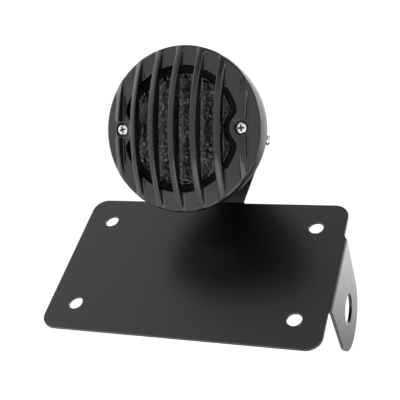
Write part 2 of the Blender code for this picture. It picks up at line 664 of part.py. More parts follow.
def build():
    powder = principled("black_powder_coat", (0.045, 0.045, 0.047), 0.45, 0.2)
    gloss = principled("gloss_black", (0.012, 0.012, 0.013), 0.12)
    smoke = principled("smoked_lens", (0.03, 0.03, 0.032), 0.06, alpha=0.6)
    clear = principled("clear_window", (0.85, 0.87, 0.88), 0.08, alpha=0.35)
    rubber = principled("black_rubber", (0.02, 0.02, 0.02), 0.8)
    steel = principled("zinc_steel", (0.72, 0.72, 0.70), 0.28, 1.0)
    bright = principled("bright_reflector", (0.8, 0.8, 0.8), 0.15, 1.0)
    board = principled("circuit_board", (0.03, 0.16, 0.06), 0.45)
    led = principled("led_lens", (0.80, 0.80, 0.78), 0.15)
    parts = principled("component_black", (0.025, 0.025, 0.025), 0.5)

    axle = folded(ear_across(AXLE_REACH), PLATE_MIDDLE)
    bracket_frame = empty("bracket_frame", (-axle.x, axle.z, -axle.y), math.radians(90))
    lamp_frame = empty("lamp_frame", (0.0, LAMP_HEIGHT, 0.0), parent=bracket_frame)
    side = side_frame(lamp_frame)

    build_bracket(bracket_frame, powder)
    build_housing(lamp_frame, side, gloss)
    build_side_screw(side, steel)
    build_bezel(lamp_frame, gloss)
    build_bezel_screws(lamp_frame, steel)
    build_lens(lamp_frame, smoke)
    build_seals(lamp_frame, rubber)
    build_leds(lamp_frame, led)
    build_reflector(lamp_frame, bright)
    build_board(lamp_frame, board, parts, steel)
    build_plate_light(lamp_frame, clear, board, led, steel, rubber)
    build_mounting(lamp_frame, steel)


clear_scene()
PARTS = new_collection("tail_light")
CUTTERS = new_collection("cutters")
build()
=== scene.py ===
import math

import bmesh
import bpy
import numpy as np
from mathutils import Matrix, Vector


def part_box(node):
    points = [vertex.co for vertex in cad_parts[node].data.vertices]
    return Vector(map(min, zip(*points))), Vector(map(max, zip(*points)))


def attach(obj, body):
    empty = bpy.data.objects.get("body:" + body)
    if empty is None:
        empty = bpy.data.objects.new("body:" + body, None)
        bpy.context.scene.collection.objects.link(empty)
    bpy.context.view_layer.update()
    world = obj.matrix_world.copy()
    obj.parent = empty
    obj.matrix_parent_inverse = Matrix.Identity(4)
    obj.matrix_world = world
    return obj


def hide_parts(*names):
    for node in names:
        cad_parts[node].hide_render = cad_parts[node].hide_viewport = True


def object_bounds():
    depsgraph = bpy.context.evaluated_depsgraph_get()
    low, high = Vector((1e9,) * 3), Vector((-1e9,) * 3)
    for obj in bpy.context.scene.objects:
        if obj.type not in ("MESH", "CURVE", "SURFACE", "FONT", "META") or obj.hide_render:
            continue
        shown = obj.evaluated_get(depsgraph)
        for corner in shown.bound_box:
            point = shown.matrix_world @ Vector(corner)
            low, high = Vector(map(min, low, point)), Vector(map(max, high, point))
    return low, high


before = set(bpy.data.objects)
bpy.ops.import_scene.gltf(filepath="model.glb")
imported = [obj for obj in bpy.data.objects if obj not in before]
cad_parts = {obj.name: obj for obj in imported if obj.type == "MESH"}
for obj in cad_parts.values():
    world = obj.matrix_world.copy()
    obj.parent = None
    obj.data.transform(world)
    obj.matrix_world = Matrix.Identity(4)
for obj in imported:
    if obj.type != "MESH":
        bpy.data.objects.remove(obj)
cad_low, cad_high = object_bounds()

MM = 0.001
GAP = 0.3 * MM                        # the CAD's gap between pieces that touch

# Bracket
SHEET = 2.0 * MM
PLATE_WIDTH = 183.8 * MM
PLATE_HEIGHT = 109.0 * MM
PLATE_CORNER = 9.7 * MM
PLATE_LEAN = math.radians(45)
PLATE_HOLE = 4.75 * MM
PLATE_HOLES_X = 146.05 * MM
PLATE_HOLES_Y = 69.85 * MM
NECK_HALF_WIDTH = 19.5 * MM
NECK_FILLET = 1.5 * MM
NECK_BEND = 1.0 * MM
NECK_WIRE_HOLE = 8.0 * MM
BACK_DISC = 35.0 * MM
EAR_BEND = 3.0 * MM
EAR_OUT = 2.0 * MM
EAR_HALF = 26.8 * MM                  # half the ear's width at the fold
EAR_RADIUS = 24.8 * MM                # of its round end
EAR_REACH = 39.5 * MM                 # plate's front face to the middle of the round end
EAR_TAPER = 3.1                       # degrees that each side leans in
EAR_RELIEF = 2.2 * MM                 # the fold is this much longer than the ear, at each end
AXLE_HOLE = 9.9 * MM
AXLE_REACH = 36.8 * MM                # plate's front face to the middle of the hole
LAMP_HEIGHT = 47.8 * MM               # above the line where the plate and the neck meet
BOLT_X = 14.0 * MM
BOLT_RADIUS = 2.85 * MM

# Bezel, in millimetres, because its surface is found as the zero of a formula
RIM = 59.2
BEZEL_RADIUS = 51.2
BEZEL_BACK = RIM - 1.6
LIP_BACK = BEZEL_BACK - 3.2           # the rim's lip reaches over the housing's stepped edge
LIP_RADIUS = 50.0
RIM_SIDE = RIM - 0.8                  # the rim's outer side is behind this
DOME_RADIUS = 87.0
DOME_RISE = 17.1
DOME_CENTRE = RIM + DOME_RISE - DOME_RADIUS
FIN_BACK = RIM + 8.1
FIN_BACK_SPHERE = 200.0               # radius that the fins' backs are hollowed to
FIN_PITCH = 13.7
FIN_HALF = 2.0                        # at the front edge; the sides draw out towards the back
FIN_DRAFT = 0.035                     # how much a side draws out for each mm of depth
FIN_COUNT = 7
OPENING_RADIUS = 38.5
OPENING_Z = RIM + 3.0
FLOOR_Z = RIM + 0.5
SCREW_X = 39.4
SCREW_SEAT = RIM + 0.1
SCREW_HOLE = 2.2
COUNTERBORE = 4.2                     # radius
BOSS_RADIUS = 8.2
BOSS_Z = RIM + 2.8
BOSS_CLEAR_X = 5.2                    # the outer fins stop this far from the screw, sideways
BOSS_CLEAR_Y = 4.9                    # and this far above and below it
LENS_RAISED = 34.3                    # radius of the lens's raised middle
LENS_NOTCH = BOSS_RADIUS + 3.5        # radius that it keeps clear round each screw
LENS_SKIN = 2.2
LENS_BORDER = 0.25                    # width of the painted shade, matte black, round its front
LENS_SCREW_HOLE = 2.6
FLANGE_RADIUS = 46.5
FLANGE_FRONT = BEZEL_BACK - 0.3
FLANGE_BACK = FLANGE_FRONT - 2.7

# Housing and what is in it
HOUSING_RADIUS = 50.2 * MM
HOUSING_FRONT = FLANGE_FRONT * MM
HOUSING_WALL = 2.4 * MM
BOWL_TOP = 54.0 * MM
BOWL_DEPTH = 49.0 * MM
BOWL_CORE = 12.0 * MM
SEAT_RADIUS = 22.0 * MM
SEAT_Z = 4.7 * MM
HOUSING_FLOOR = 8.7 * MM
WIRE_HOLE = 5.0 * MM
WIRE_BORE = 3.3 * MM
LEDGE_Z = 52.8 * MM
LEDGE_IN = 43.3 * MM
LEDGE_OUT = 46.8 * MM
WINDOW_HALF = 14.0 * MM
WINDOW_LOW = 32.0 * MM
WINDOW_HIGH = 46.0 * MM
SIDE_SCREW_TURN = math.radians(-8)
SIDE_SCREW_CURVE = math.radians(27.8)
POST_RADIUS = 4.2 * MM
POST_BACK = 39.5 * MM
POST_BORE_END = 42.0 * MM
RIB_HALF = 1.5 * MM
RIB_END = 46.5 * MM                   # from the lamp's middle, inside the wall
RIB_LOW = 40.0 * MM
RIB_HIGH = 50.0 * MM
SCREW_BORE = 2.2 * MM
BOARD_POST_CIRCLE = 29.0 * MM
BOARD_POST_TURNS = (90, 210, 330)     # degrees
BOARD_POST_RADIUS = 3.0 * MM
BOARD_POST_BACK = 13.0 * MM
BOARD_BORE = 1.5 * MM
BOARD_BORE_DEPTH = 12.0 * MM
BOARD_BACK = 44.0 * MM
BOARD_FRONT = 45.6 * MM
LED_PITCH = 11.5 * MM
LED_RADIUS = 2.5 * MM
LED_SHOULDER = 4.1 * MM               # height where its dome starts
LED_FLANGE = 0.35 * MM                # how far its flange stands out
LED_FLANGE_HEIGHT = 0.8 * MM

# Bolts behind the lamp
BOLT_END = 9.0 * MM                   # how far a bolt stands out behind the bracket
BOLT_PITCH = 1.0 * MM
WASHER_RADIUS = 6.0 * MM
WASHER_THICK = 1.2 * MM
LOCK_RADIUS = 5.0 * MM
LOCK_THICK = 1.4 * MM
NUT_FLATS = 10.0 * MM
NUT_HEIGHT = 5.0 * MM

# The light, camera and floor
CAMERA_PLACE = Vector((0.1087, -0.50688, 0.09376))
CAMERA_AIM = Vector((-0.1012, 0.0008, 0.0666))
CAMERA_LENS = 73.8                    # mm, on a 36 mm sensor
FLOOR_DROP = 0.07                     # the floor is this far below the bracket
FLOOR_RADIUS = 0.40
FLOOR_CENTRE = (-0.14, -0.10)
BAND_LIGHT = 1.08
BAND_TOP = 0.45                       # height of a direction, of 1, where the band starts to fade
CEILING_LOW = 0.85                    # and where only the ceiling's light is left
CEILING_LIGHT = 0.3
BACKGROUND = (0.985, 0.99, 1.02, 1.0)
# Direction towards each soft box, the angles from its middle in degrees where it starts to fade
# and where it is gone, and its strength. A negative one takes light away.
SOFT_BOXES = [
    ((-0.70, -0.10, 0.70), 10, 42, 0.80),
    ((-0.15, 0.00, 0.99), 5, 22, 0.30),
    ((-0.35, -0.55, 0.76), 8, 25, 0.30),
    ((-0.97, -0.10, 0.20), 15, 40, 0.5),
    ((0.385, 0.90, 0.14), 18, 26, 2.4),
    ((0.33, 0.87, -0.38), 8, 23, -1.6),
    ((0.25, -0.02, 0.95), 6, 24, 0.6),
    ((0.74, 0.52, 0.40), 8, 32, 1.6),
    ((-0.15, 0.80, 0.58), 10, 32, 4.2),
    ((0.78, -0.62, 0.0), 10, 40, -0.3),
]
SPOT_PLACE = (0.03, -0.33, 1.5)
SPOT_ANGLE = 15                       # degrees
SPOT_POWER = 165.0
SPOT_BLEND = 0.6
SPOT_RADIUS = 0.02

ROUND = 144                           # sides of a large round piece
SMALL = 48                            # and of a small one

bezel_low, bezel_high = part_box("bezel")
gasket_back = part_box("base_gasket")[1].y
LAMP_PLACE = Vector(((bezel_low.x + bezel_high.x) / 2, gasket_back + GAP,
                     (bezel_low.z + bezel_high.z) / 2))
LAMP = Matrix.Translation(LAMP_PLACE) @ Matrix.Rotation(math.radians(90), 4, "X")
BRACKET = LAMP @ Matrix.Translation((0.0, -LAMP_HEIGHT, 0.0))


# ------------------------------------------------------------------ material helpers

def shader_of(name, colour, roughness, metallic=0.0, **sockets):
    """A Principled material with plain values, and its node tree and shader."""
    material = bpy.data.materials.new(name)
    material.use_nodes = True
    shader = material.node_tree.nodes["Principled BSDF"]
    shader.inputs["Base Color"].default_value = (*colour, 1.0)
    shader.inputs["Roughness"].default_value = roughness
    shader.inputs["Metallic"].default_value = metallic
    for socket, value in sockets.items():
        shader.inputs[socket.replace("_", " ")].default_value = value
    return material, material.node_tree, shader


def noise(tree, scale, detail=3.0, stretch=(1.0, 1.0, 1.0)):
    coords = tree.nodes.new("ShaderNodeTexCoord")
    mapping = tree.nodes.new("ShaderNodeMapping")
    mapping.inputs["Scale"].default_value = stretch
    texture = tree.nodes.new("ShaderNodeTexNoise")
    texture.inputs["Scale"].default_value = scale
    texture.inputs["Detail"].default_value = detail
    tree.links.new(coords.outputs["Object"], mapping.inputs["Vector"])
    tree.links.new(mapping.outputs["Vector"], texture.inputs["Vector"])
    return texture.outputs["Fac"]


def roughen(tree, shader, value, low, high):
    """Vary the roughness between two values by a 0 to 1 texture."""
    span = tree.nodes.new("ShaderNodeMapRange")
    span.inputs["From Min"].default_value = 0.3
    span.inputs["From Max"].default_value = 0.7
    span.inputs["To Min"].default_value = low
    span.inputs["To Max"].default_value = high
    tree.links.new(value, span.inputs["Value"])
    tree.links.new(span.outputs["Result"], shader.inputs["Roughness"])


def tint(tree, shader, value, dark, light, start=0.3, end=0.7):
    """Vary the colour from dark to light as a texture goes from start to end."""
    ramp = tree.nodes.new("ShaderNodeValToRGB")
    ramp.color_ramp.elements[0].position = start
    ramp.color_ramp.elements[0].color = (*dark, 1.0)
    ramp.color_ramp.elements[1].position = end
    ramp.color_ramp.elements[1].color = (*light, 1.0)
    tree.links.new(value, ramp.inputs["Fac"])
    tree.links.new(ramp.outputs["Color"], shader.inputs["Base Color"])


def bump(tree, shader, value, depth):
    """Raise the surface by up to depth metres."""
    node = tree.nodes.new("ShaderNodeBump")
    node.inputs["Strength"].default_value = 1.0
    node.inputs["Distance"].default_value = depth
    tree.links.new(value, node.inputs["Height"])
    tree.links.new(node.outputs["Normal"], shader.inputs["Normal"])


# ------------------------------------------------------------------ materials

def powder_coat():
    material, tree, shader = shader_of("powder_coat_black", (0.0015, 0.0015, 0.0017), 0.31)
    tint(tree, shader, noise(tree, 35.0), (0.0010, 0.0010, 0.0012), (0.0020, 0.0020, 0.0023))
    roughen(tree, shader, noise(tree, 220.0), 0.29, 0.33)
    bump(tree, shader, noise(tree, 2600.0, 2.0), 0.006 * MM)
    return material


def black_enamel():
    material, tree, shader = shader_of("black_enamel", (0.006, 0.006, 0.006), 0.14,
                                       Coat_Weight=0.2, Coat_Roughness=0.05)
    tint(tree, shader, noise(tree, 60.0), (0.004, 0.004, 0.0045), (0.008, 0.008, 0.0085))
    roughen(tree, shader, noise(tree, 140.0, 5.0), 0.12, 0.22)
    bump(tree, shader, noise(tree, 420.0, 2.0), 0.008 * MM)
    return material


def satin_enamel():
    material, tree, shader = shader_of("satin_enamel", (0.004, 0.004, 0.0045), 0.45, IOR=1.23)
    tint(tree, shader, noise(tree, 60.0), (0.003, 0.003, 0.0034), (0.005, 0.005, 0.0056))
    roughen(tree, shader, noise(tree, 200.0), 0.42, 0.48)
    bump(tree, shader, noise(tree, 900.0, 2.0), 0.006 * MM)
    return material


def painted_shade_black():
    """Painted shade: matte black on the lens's flange and sides, where the gap round the lens
    lies in shade.
    """
    material, tree, shader = shader_of("painted_shade_edge", (0.002, 0.002, 0.002), 0.6,
                                       Specular_IOR_Level=0.15)
    tint(tree, shader, noise(tree, 300.0), (0.0015, 0.0015, 0.0015), (0.003, 0.003, 0.003))
    bump(tree, shader, noise(tree, 1500.0), 0.01 * MM)
    return material


def smoked_plastic():
    """Dark see-through plastic with painted glints: lighter specks in its colour stand in for
    light caught by its pebbled inside and the reflector behind.
    """
    material, tree, shader = shader_of("smoked_lens", (0.004, 0.004, 0.005), 0.05, Alpha=0.58)
    # painted glints: specks of light grey in the base colour
    tint(tree, shader, noise(tree, 620.0, 3.0),
         (0.002, 0.002, 0.002), (0.38, 0.38, 0.37), 0.51, 0.73)
    roughen(tree, shader, noise(tree, 90.0, 4.0), 0.03, 0.09)
    bump(tree, shader, noise(tree, 150.0, 1.0), 0.004 * MM)
    return material


def zinc_plate():
    material, tree, shader = shader_of("zinc_plate", (0.75, 0.75, 0.73), 0.25, 1.0)
    tint(tree, shader, noise(tree, 700.0, 4.0), (0.62, 0.62, 0.60), (0.86, 0.86, 0.84))
    roughen(tree, shader, noise(tree, 900.0, 4.0, (1.0, 1.0, 4.0)), 0.18, 0.4)
    bump(tree, shader, noise(tree, 3200.0, 2.0), 0.004 * MM)
    return material


def moulded_rubber():
    material, tree, shader = shader_of("moulded_rubber", (0.014, 0.014, 0.014), 0.8)
    tint(tree, shader, noise(tree, 150.0), (0.010, 0.010, 0.010), (0.020, 0.020, 0.019))
    roughen(tree, shader, noise(tree, 500.0), 0.7, 0.9)
    bump(tree, shader, noise(tree, 1800.0, 4.0), 0.02 * MM)
    return material


def metallised_plastic():
    """Bright metal on a moulded grain, which breaks up what it reflects."""
    material, tree, shader = shader_of("metallised_plastic", (0.8, 0.8, 0.8), 0.35, 1.0)
    roughen(tree, shader, noise(tree, 500.0), 0.22, 0.5)
    tint(tree, shader, noise(tree, 900.0), (0.45, 0.45, 0.45), (0.9, 0.9, 0.9))
    bump(tree, shader, noise(tree, 650.0, 3.0), 1.2 * MM)
    return material


def solder_mask():
    """Green board with lighter copper tracks showing through."""
    material, tree, shader = shader_of("solder_mask", (0.01, 0.09, 0.03), 0.35)
    tracks = tree.nodes.new("ShaderNodeTexBrick")
    tracks.inputs["Scale"].default_value = 260.0
    tracks.inputs["Color1"].default_value = (0.008, 0.075, 0.024, 1.0)
    tracks.inputs["Color2"].default_value = (0.010, 0.095, 0.030, 1.0)
    tracks.inputs["Mortar"].default_value = (0.030, 0.170, 0.060, 1.0)
    coords = tree.nodes.new("ShaderNodeTexCoord")
    tree.links.new(coords.outputs["Object"], tracks.inputs["Vector"])
    tree.links.new(tracks.outputs["Color"], shader.inputs["Base Color"])
    roughen(tree, shader, noise(tree, 300.0), 0.25, 0.45)
    bump(tree, shader, tracks.outputs["Fac"], 0.02 * MM)
    return material


def clear_epoxy():
    material, tree, shader = shader_of("clear_epoxy", (0.35, 0.35, 0.34), 0.1)
    tint(tree, shader, noise(tree, 500.0), (0.28, 0.28, 0.27), (0.45, 0.45, 0.43))
    roughen(tree, shader, noise(tree, 400.0), 0.06, 0.16)
    return material


def phosphor():
    material, tree, shader = shader_of("lamp_phosphor", (0.75, 0.62, 0.2), 0.5)
    tint(tree, shader, noise(tree, 900.0), (0.70, 0.55, 0.15), (0.85, 0.78, 0.45))
    bump(tree, shader, noise(tree, 1500.0), 0.03 * MM)
    return material


# also used as painted shade in the screws' cross recesses
def moulded_black_and_recess_shade():
    material, tree, shader = shader_of("moulded_black_and_recess_shade", (0.02, 0.02, 0.02), 0.5)
    tint(tree, shader, noise(tree, 300.0), (0.014, 0.014, 0.015), (0.028, 0.028, 0.028))
    roughen(tree, shader, noise(tree, 800.0), 0.4, 0.6)
    bump(tree, shader, noise(tree, 2500.0), 0.01 * MM)
    return material


def clear_plastic():
    material, tree, shader = shader_of("clear_plastic", (0.75, 0.78, 0.8), 0.1, Alpha=0.35)
    roughen(tree, shader, noise(tree, 150.0), 0.06, 0.16)
    bump(tree, shader, noise(tree, 300.0, 1.0), 0.01 * MM)
    return material


# ------------------------------------------------------------------ mesh helpers

def add_object(name, mesh, matrix, material=None):
    if material:
        mesh.materials.append(material)
    thing = bpy.data.objects.new(name, mesh)
    thing.matrix_world = matrix
    bpy.context.scene.collection.objects.link(thing)
    return thing


def from_bmesh(name, bm, matrix, material=None):
    bmesh.ops.recalc_face_normals(bm, faces=bm.faces)
    mesh = bpy.data.meshes.new(name)
    bm.to_mesh(mesh)
    bm.free()
    return add_object(name, mesh, matrix, material)


def show(piece, *nodes, slot):
    """The piece stands for these CAD nodes."""
    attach(piece, "root")
    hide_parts(*nodes)
    return piece


def smooth(thing, angle=35.0):
    """Smooth shading that keeps flat faces flat."""
    thing.data.shade_smooth()
    thing.data.set_sharp_from_angle(angle=math.radians(angle))
    weighted = thing.modifiers.new("Normals", "WEIGHTED_NORMAL")
    weighted.keep_sharp = True
    weighted.weight = 80
    return thing


def cut(target, tool, operation="DIFFERENCE"):
    """Apply a Boolean and remove the tool."""
    modifier = target.modifiers.new("Cut", "BOOLEAN")
    modifier.operation = operation
    modifier.object = tool
    bpy.context.view_layer.update()
    graph = bpy.context.evaluated_depsgraph_get()
    mesh = bpy.data.meshes.new_from_object(target.evaluated_get(graph), depsgraph=graph)
    target.modifiers.remove(modifier)
    target.data = mesh
    bpy.data.objects.remove(tool, do_unlink=True)
    return target


def block(name, low, high, matrix, material=None):
    bm = bmesh.new()
    low = Vector(low)
    high = Vector(high)
    bmesh.ops.create_cube(bm, size=1.0)
    bmesh.ops.scale(bm, vec=high - low, verts=bm.verts)
    bmesh.ops.translate(bm, vec=(low + high) / 2, verts=bm.verts)
    return from_bmesh(name, bm, matrix, material)


def drum(name, radius, low, high, matrix, material=None, at=(0.0, 0.0), sides=SMALL):
    bm = bmesh.new()
    bmesh.ops.create_cone(bm, cap_ends=True, segments=sides, radius1=radius, radius2=radius,
                          depth=high - low)
    bmesh.ops.translate(bm, vec=(at[0], at[1], (low + high) / 2), verts=bm.verts)
    return from_bmesh(name, bm, matrix, material)


def soften(profile, radius, steps=4, closed=False):
    """Round each corner of a (radius, height) profile; points on the axis stay sharp."""
    count = len(profile)
    out = []
    for i, point in enumerate(profile):
        here = Vector(point)
        if not closed and i in (0, count - 1) or here.x < 1e-9:
            out.append(point)
            continue
        before = Vector(profile[i - 1]) - here
        after = Vector(profile[(i + 1) % count]) - here
        if before.angle(after) > math.radians(172):
            out.append(point)
            continue
        reach = min(radius, before.length * 0.45, after.length * 0.45)
        start = here + before.normalized() * reach
        end = here + after.normalized() * reach
        for step in range(steps + 1):
            t = step / steps
            out.append(tuple((1 - t) ** 2 * start + 2 * t * (1 - t) * here + t * t * end))
    return out


def lathe(name, profile, matrix, material, steps=ROUND, closed=False):
    """A solid of revolution about Z. An open profile starts and ends on the axis."""
    bm = bmesh.new()
    rings = []
    for radius, height in profile:
        if radius < 1e-9:
            rings.append([bm.verts.new((0.0, 0.0, height))])
            continue
        turns = [2 * math.pi * i / steps for i in range(steps)]
        rings.append([bm.verts.new((radius * math.cos(t), radius * math.sin(t), height))
                      for t in turns])
    pairs = list(zip(rings, rings[1:]))
    if closed:
        pairs.append((rings[-1], rings[0]))
    for a, b in pairs:
        for i in range(steps):
            j = (i + 1) % steps
            corners = [a[i % len(a)], a[j % len(a)], b[j % len(b)], b[i % len(b)]]
            bm.faces.new(list(dict.fromkeys(corners)))
    return from_bmesh(name, bm, matrix, material)


def arc(centre, radius, start, end, steps):
    turns = [math.radians(start + (end - start) * i / steps) for i in range(steps + 1)]
    return [(centre[0] + radius * math.cos(t), centre[1] + radius * math.sin(t)) for t in turns]


# ------------------------------------------------------------------ surfaces from a formula

def blend_min(a, b, width):
    """The smaller of two distances, rounded where they are about equal."""
    overlap = np.maximum(width - np.abs(a - b), 0.0) / width
    return np.minimum(a, b) - overlap ** 2 * width / 4


def blend_max(a, b, width):
    """The larger of two distances, rounded in the same way."""
    return -blend_min(-a, -b, width)


def slope(field, points, step=0.01):
    """The field's gradient at each point."""
    parts = []
    for axis in range(3):
        shift = np.zeros(3)
        shift[axis] = step
        ahead = field(*(points + shift).T)
        behind = field(*(points - shift).T)
        parts.append((ahead - behind) / (2 * step))
    return np.stack(parts, 1)


def draw_onto(field, points):
    """Move points, in place, onto the surface where field is zero."""
    for _ in range(4):
        steep = slope(field, points)
        distance = field(*points.T) / np.maximum((steep ** 2).sum(1), 0.25)
        points -= np.clip(distance, -0.3, 0.3)[:, None] * steep


def surface_mesh(name, field, points, faces):
    """A smooth mesh that takes its normals from the formula."""
    mesh = bpy.data.meshes.new(name)
    mesh.from_pydata((points * MM).tolist(), [], faces.tolist())
    mesh.shade_smooth()
    normals = slope(field, points)
    normals /= np.linalg.norm(normals, axis=1)[:, None]
    mesh.normals_split_custom_set_from_vertices(normals.tolist())
    return mesh


def net(name, field, lines, matrix, material):
    """The closed surface where field, in millimetres, is zero; it is negative inside.

    Each grid cell that the surface crosses gets one point, which is then drawn onto the surface.
    Each grid edge that it crosses joins its four cells in a face.
    """
    grid = np.meshgrid(*lines, indexing="ij")
    value = field(*grid)
    inside = value < 0
    cells = tuple(n - 1 for n in value.shape)
    total = np.zeros((*cells, 3))
    count = np.zeros(cells)
    crossings = []
    for axis in range(3):
        low = [slice(None)] * 3
        high = [slice(None)] * 3
        low[axis] = slice(None, -1)
        high[axis] = slice(1, None)
        a, b = value[tuple(low)], value[tuple(high)]
        edges = np.argwhere(inside[tuple(low)] != inside[tuple(high)])
        index = tuple(edges.T)
        share = a[index] / (a[index] - b[index])
        start = np.stack([line[edges[:, k]] for k, line in enumerate(lines)], 1)
        start[:, axis] += share * (lines[axis][edges[:, axis] + 1] - lines[axis][edges[:, axis]])
        one, two = [k for k in range(3) if k != axis]
        around = []
        for first, second in ((0, 0), (1, 0), (1, 1), (0, 1)):
            cell = edges.copy()
            cell[:, one] -= first
            cell[:, two] -= second
            np.add.at(total, tuple(cell.T), start)
            np.add.at(count, tuple(cell.T), 1)
            around.append(cell)
        flip = inside[tuple(low)][index] == (axis == 1)
        crossings.append((around, flip))
    used = count > 0
    number = np.full(cells, -1)
    number[used] = np.arange(used.sum())
    points = total[used] / count[used][:, None]
    draw_onto(field, points)
    faces = []
    for around, flip in crossings:
        quads = np.stack([number[tuple(cell.T)] for cell in around], 1)
        quads[flip] = quads[flip][:, ::-1]
        faces.append(quads)
    mesh = surface_mesh(name, field, points, np.concatenate(faces))
    return add_object(name, mesh, matrix, material)


def lines_between(low, high, pitch):
    return np.linspace(low, high, int(round((high - low) / pitch)) + 1)


# ------------------------------------------------------------------ bezel

FIN_PLACES = [(i - FIN_COUNT // 2) * FIN_PITCH for i in range(FIN_COUNT)]


def fin_field(x, r, z, ball):
    """The fins, with rounded front edges and the hollow between their backs and the lens."""
    fins = np.full_like(r, 1e3)
    behind = np.maximum(DOME_RADIUS - ball, 0.0)
    for place in FIN_PLACES:
        fins = np.minimum(fins, np.abs(x - place) - FIN_HALF - FIN_DRAFT * behind)
    inner = np.minimum(r, OPENING_RADIUS + 2.0)
    back = FIN_BACK - FIN_BACK_SPHERE + np.sqrt(FIN_BACK_SPHERE ** 2 - inner ** 2)
    hollow = blend_max(r - OPENING_RADIUS - 0.3, z - back, 2.0)
    fins = blend_max(fins, -hollow, 0.9)
    return blend_max(ball - DOME_RADIUS, fins, 1.3)


def bezel_field(x, y, z):
    """Distance to the domed casting with its fins, sloping floor, bosses and screw holes."""
    r = np.hypot(x, y)
    ball = np.hypot(r, z - DOME_CENTRE)
    screw = np.hypot(np.abs(x) - SCREW_X, y)
    fall = (OPENING_Z - FLOOR_Z) / (BEZEL_RADIUS - OPENING_RADIUS)
    floor = OPENING_Z - np.maximum(r - OPENING_RADIUS, 0.0) * fall
    plan = blend_min(OPENING_RADIUS - r, screw - BOSS_RADIUS, 6.0)
    ring = blend_max(plan, z - floor, 0.9)
    solid = blend_min(fin_field(x, r, z, ball), ring, 1.3)
    beside = np.abs(np.abs(x) - SCREW_X) - BOSS_CLEAR_X
    recess = blend_max(np.abs(y) - BOSS_CLEAR_Y, beside, 1.6)
    recess = blend_max(recess, BOSS_Z - 0.3 - z, 0.8)
    solid = blend_max(solid, -recess, 0.7)
    solid = blend_max(solid, r - BEZEL_RADIUS, 1.6)
    back = np.minimum(BEZEL_BACK - z, np.maximum(LIP_BACK - z, LIP_RADIUS - r))
    solid = blend_max(solid, back, 0.3)
    counterbore = np.maximum(screw - COUNTERBORE, SCREW_SEAT - 0.3 - z)
    solid = blend_max(solid, -counterbore, 0.35)
    return blend_max(solid, SCREW_HOLE - screw, 0.3)


def fin_lines():
    """Grid lines across the fins, closer together where a fin's edges are."""
    lines = []
    for place in FIN_PLACES:
        for side in (-1, 1):
            edge = place + side * (FIN_HALF + 0.15)
            lines.append(lines_between(edge - 0.75, edge + 0.75, 0.25))
    rest = lines_between(-BEZEL_RADIUS - 0.7, BEZEL_RADIUS + 0.7, 0.6)
    close = np.concatenate(lines)
    far = [x for x in rest if np.abs(close - x).min() > 0.3]
    return np.sort(np.concatenate([close, far]))


def build_bezel(material, side):
    """The casting, glossy in front and satin on its turned outer side."""
    upright = lines_between(-BEZEL_RADIUS - 0.7, BEZEL_RADIUS + 0.7, 0.75)
    depth = lines_between(LIP_BACK - 0.63, RIM + DOME_RISE + 0.6, 0.45)
    bezel = net("fine_bezel", bezel_field, (fin_lines(), upright, depth), LAMP, material)
    bezel.data.materials.append(side)
    for face in bezel.data.polygons:
        x, y, z = face.center / MM
        face.material_index = int(z < RIM_SIDE and math.hypot(x, y) > LIP_RADIUS)
    return show(bezel, "bezel", slot="cast_gloss_black")


# ------------------------------------------------------------------ lens and light unit

def lens_field(x, y, z):
    """Distance to the flanged lens, hollow behind its raised middle."""
    r = np.hypot(x, y)
    screw = np.hypot(np.abs(x) - SCREW_X, y)
    crown = blend_max(r - LENS_RAISED, LENS_NOTCH - screw, 5.0)
    hollow = blend_max(r - LENS_RAISED + LENS_SKIN, LENS_NOTCH + LENS_SKIN - screw, 5.0)
    front = blend_max(crown, z - RIM, 1.6)
    flange = blend_max(r - FLANGE_RADIUS, z - FLANGE_FRONT, 0.4)
    solid = np.maximum(blend_min(front, flange, 0.8), FLANGE_BACK - z)
    solid = blend_max(solid, -np.maximum(hollow, z - RIM + LENS_SKIN), 0.5)
    return np.maximum(solid, LENS_SCREW_HOLE - screw)


def build_lens(material, border):
    """The lens, with painted shade in matte black on its flange and on the side of its raised
    middle.
    """
    across = lines_between(-FLANGE_RADIUS - 0.6, FLANGE_RADIUS + 0.6, 0.8)
    depth = lines_between(FLANGE_BACK - 0.5, RIM + 0.6, 0.4)
    lens = net("fine_lens", lens_field, (across, across, depth), LAMP, material)
    lens.data.materials.append(border)
    # painted shade: faces outside the front of the raised middle take the matte black
    for face in lens.data.polygons:
        x, y = face.center.xy / MM
        screw = math.hypot(abs(x) - SCREW_X, y)
        inside = min(LENS_RAISED - math.hypot(x, y), screw - LENS_NOTCH)
        face.material_index = int(inside < LENS_BORDER)
    return show(lens, "lens", slot="smoked_lens")


def led_places():
    """Rows of two, four, four, four and two lamps."""
    for row in range(-2, 3):
        columns = (-0.5, 0.5) if abs(row) == 2 else (-1.5, -0.5, 0.5, 1.5)
        for column in columns:
            yield column * LED_PITCH, row * LED_PITCH


def reflector_field(x, y, z):
    """A tray whose face is a dish round each lamp."""
    r = np.hypot(x, y)
    screw = np.hypot(np.abs(x) - SCREW_X, y)
    edge = LENS_RAISED - LENS_SKIN - 0.6
    plan = blend_max(r - edge, LENS_NOTCH + LENS_SKIN + 0.5 - screw, 5.0)
    low = BOARD_FRONT / MM + 3.4
    high = RIM - LENS_SKIN - 0.3
    solid = np.maximum(plan, np.maximum(low - z, z - high))
    for px, py in led_places():
        across = np.hypot(x - px / MM, y - py / MM)
        rise = np.maximum(z - low, 0.0) / (high - low)
        dish = LED_RADIUS / MM + 0.4 + 3.1 * np.sqrt(rise)
        solid = blend_max(solid, dish - across, 0.5)
    return solid


def build_reflector(material):
    edge = LENS_RAISED - LENS_SKIN
    across = lines_between(-edge - 0.4, edge + 0.4, 0.6)
    depth = lines_between(BOARD_FRONT / MM + 2.9, RIM - LENS_SKIN + 0.3, 0.5)
    reflector = net("fine_reflector", reflector_field, (across, across, depth), LAMP, material)
    show(reflector, "reflector", slot="bright_reflector")


